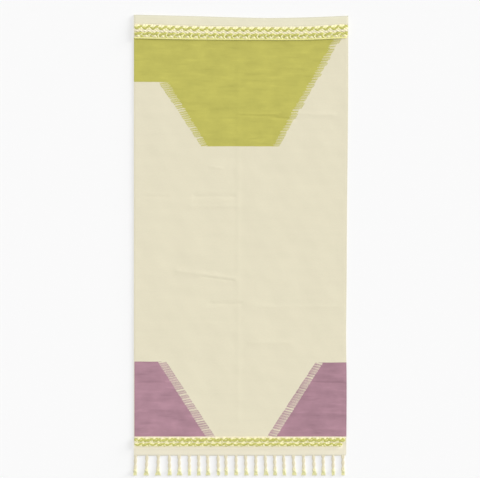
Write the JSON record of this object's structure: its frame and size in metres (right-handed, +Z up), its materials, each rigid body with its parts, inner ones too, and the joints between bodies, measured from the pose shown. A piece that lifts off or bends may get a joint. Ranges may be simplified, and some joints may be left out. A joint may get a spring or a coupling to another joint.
{
  "type": "kilim runner",
  "caption": "Flat-woven runner with slanted colour blocks, plaited end rows, a turned hem at one end and knotted tassels at the other.",
  "frame": {"origin": "on the floor under the middle of the whole runner, tassels included", "axes": "+Z up out of the face, +Y along the runner towards the hemmed end, +X across it to the right as seen from above with the hem at the top"},
  "size_m": [0.6051, 1.2974, 0.0099],
  "materials": {
    "woven_cotton": "matt flat weave, cream field with chartreuse and mauve blocks",
    "plait_yarn": "soft plaited cotton yarn, one chartreuse strand and two cream",
    "fringe_yarn": "twisted cotton warp ends, paler and slightly lime at the brushed tips"
  },
  "bodies": {
    "root": {"woven_cloth": "woven_cotton", "plait_top_upper": "plait_yarn", "plait_top_lower": "plait_yarn", "plait_bottom_upper": "plait_yarn", "plait_bottom_lower": "plait_yarn", "tassel_01": "fringe_yarn", "tassel_02": "fringe_yarn", "tassel_03": "fringe_yarn", "tassel_04": "fringe_yarn", "tassel_05": "fringe_yarn", "tassel_06": "fringe_yarn", "tassel_07": "fringe_yarn", "tassel_08": "fringe_yarn", "tassel_09": "fringe_yarn", "tassel_10": "fringe_yarn", "tassel_11": "fringe_yarn", "tassel_12": "fringe_yarn", "tassel_13": "fringe_yarn", "tassel_14": "fringe_yarn", "tassel_15": "fringe_yarn", "tassel_16": "fringe_yarn", "tassel_17": "fringe_yarn", "tassel_18": "fringe_yarn", "tassel_19": "fringe_yarn", "tassel_20": "fringe_yarn", "tassel_21": "fringe_yarn", "tassel_22": "fringe_yarn"}
  },
  "joints": []
}
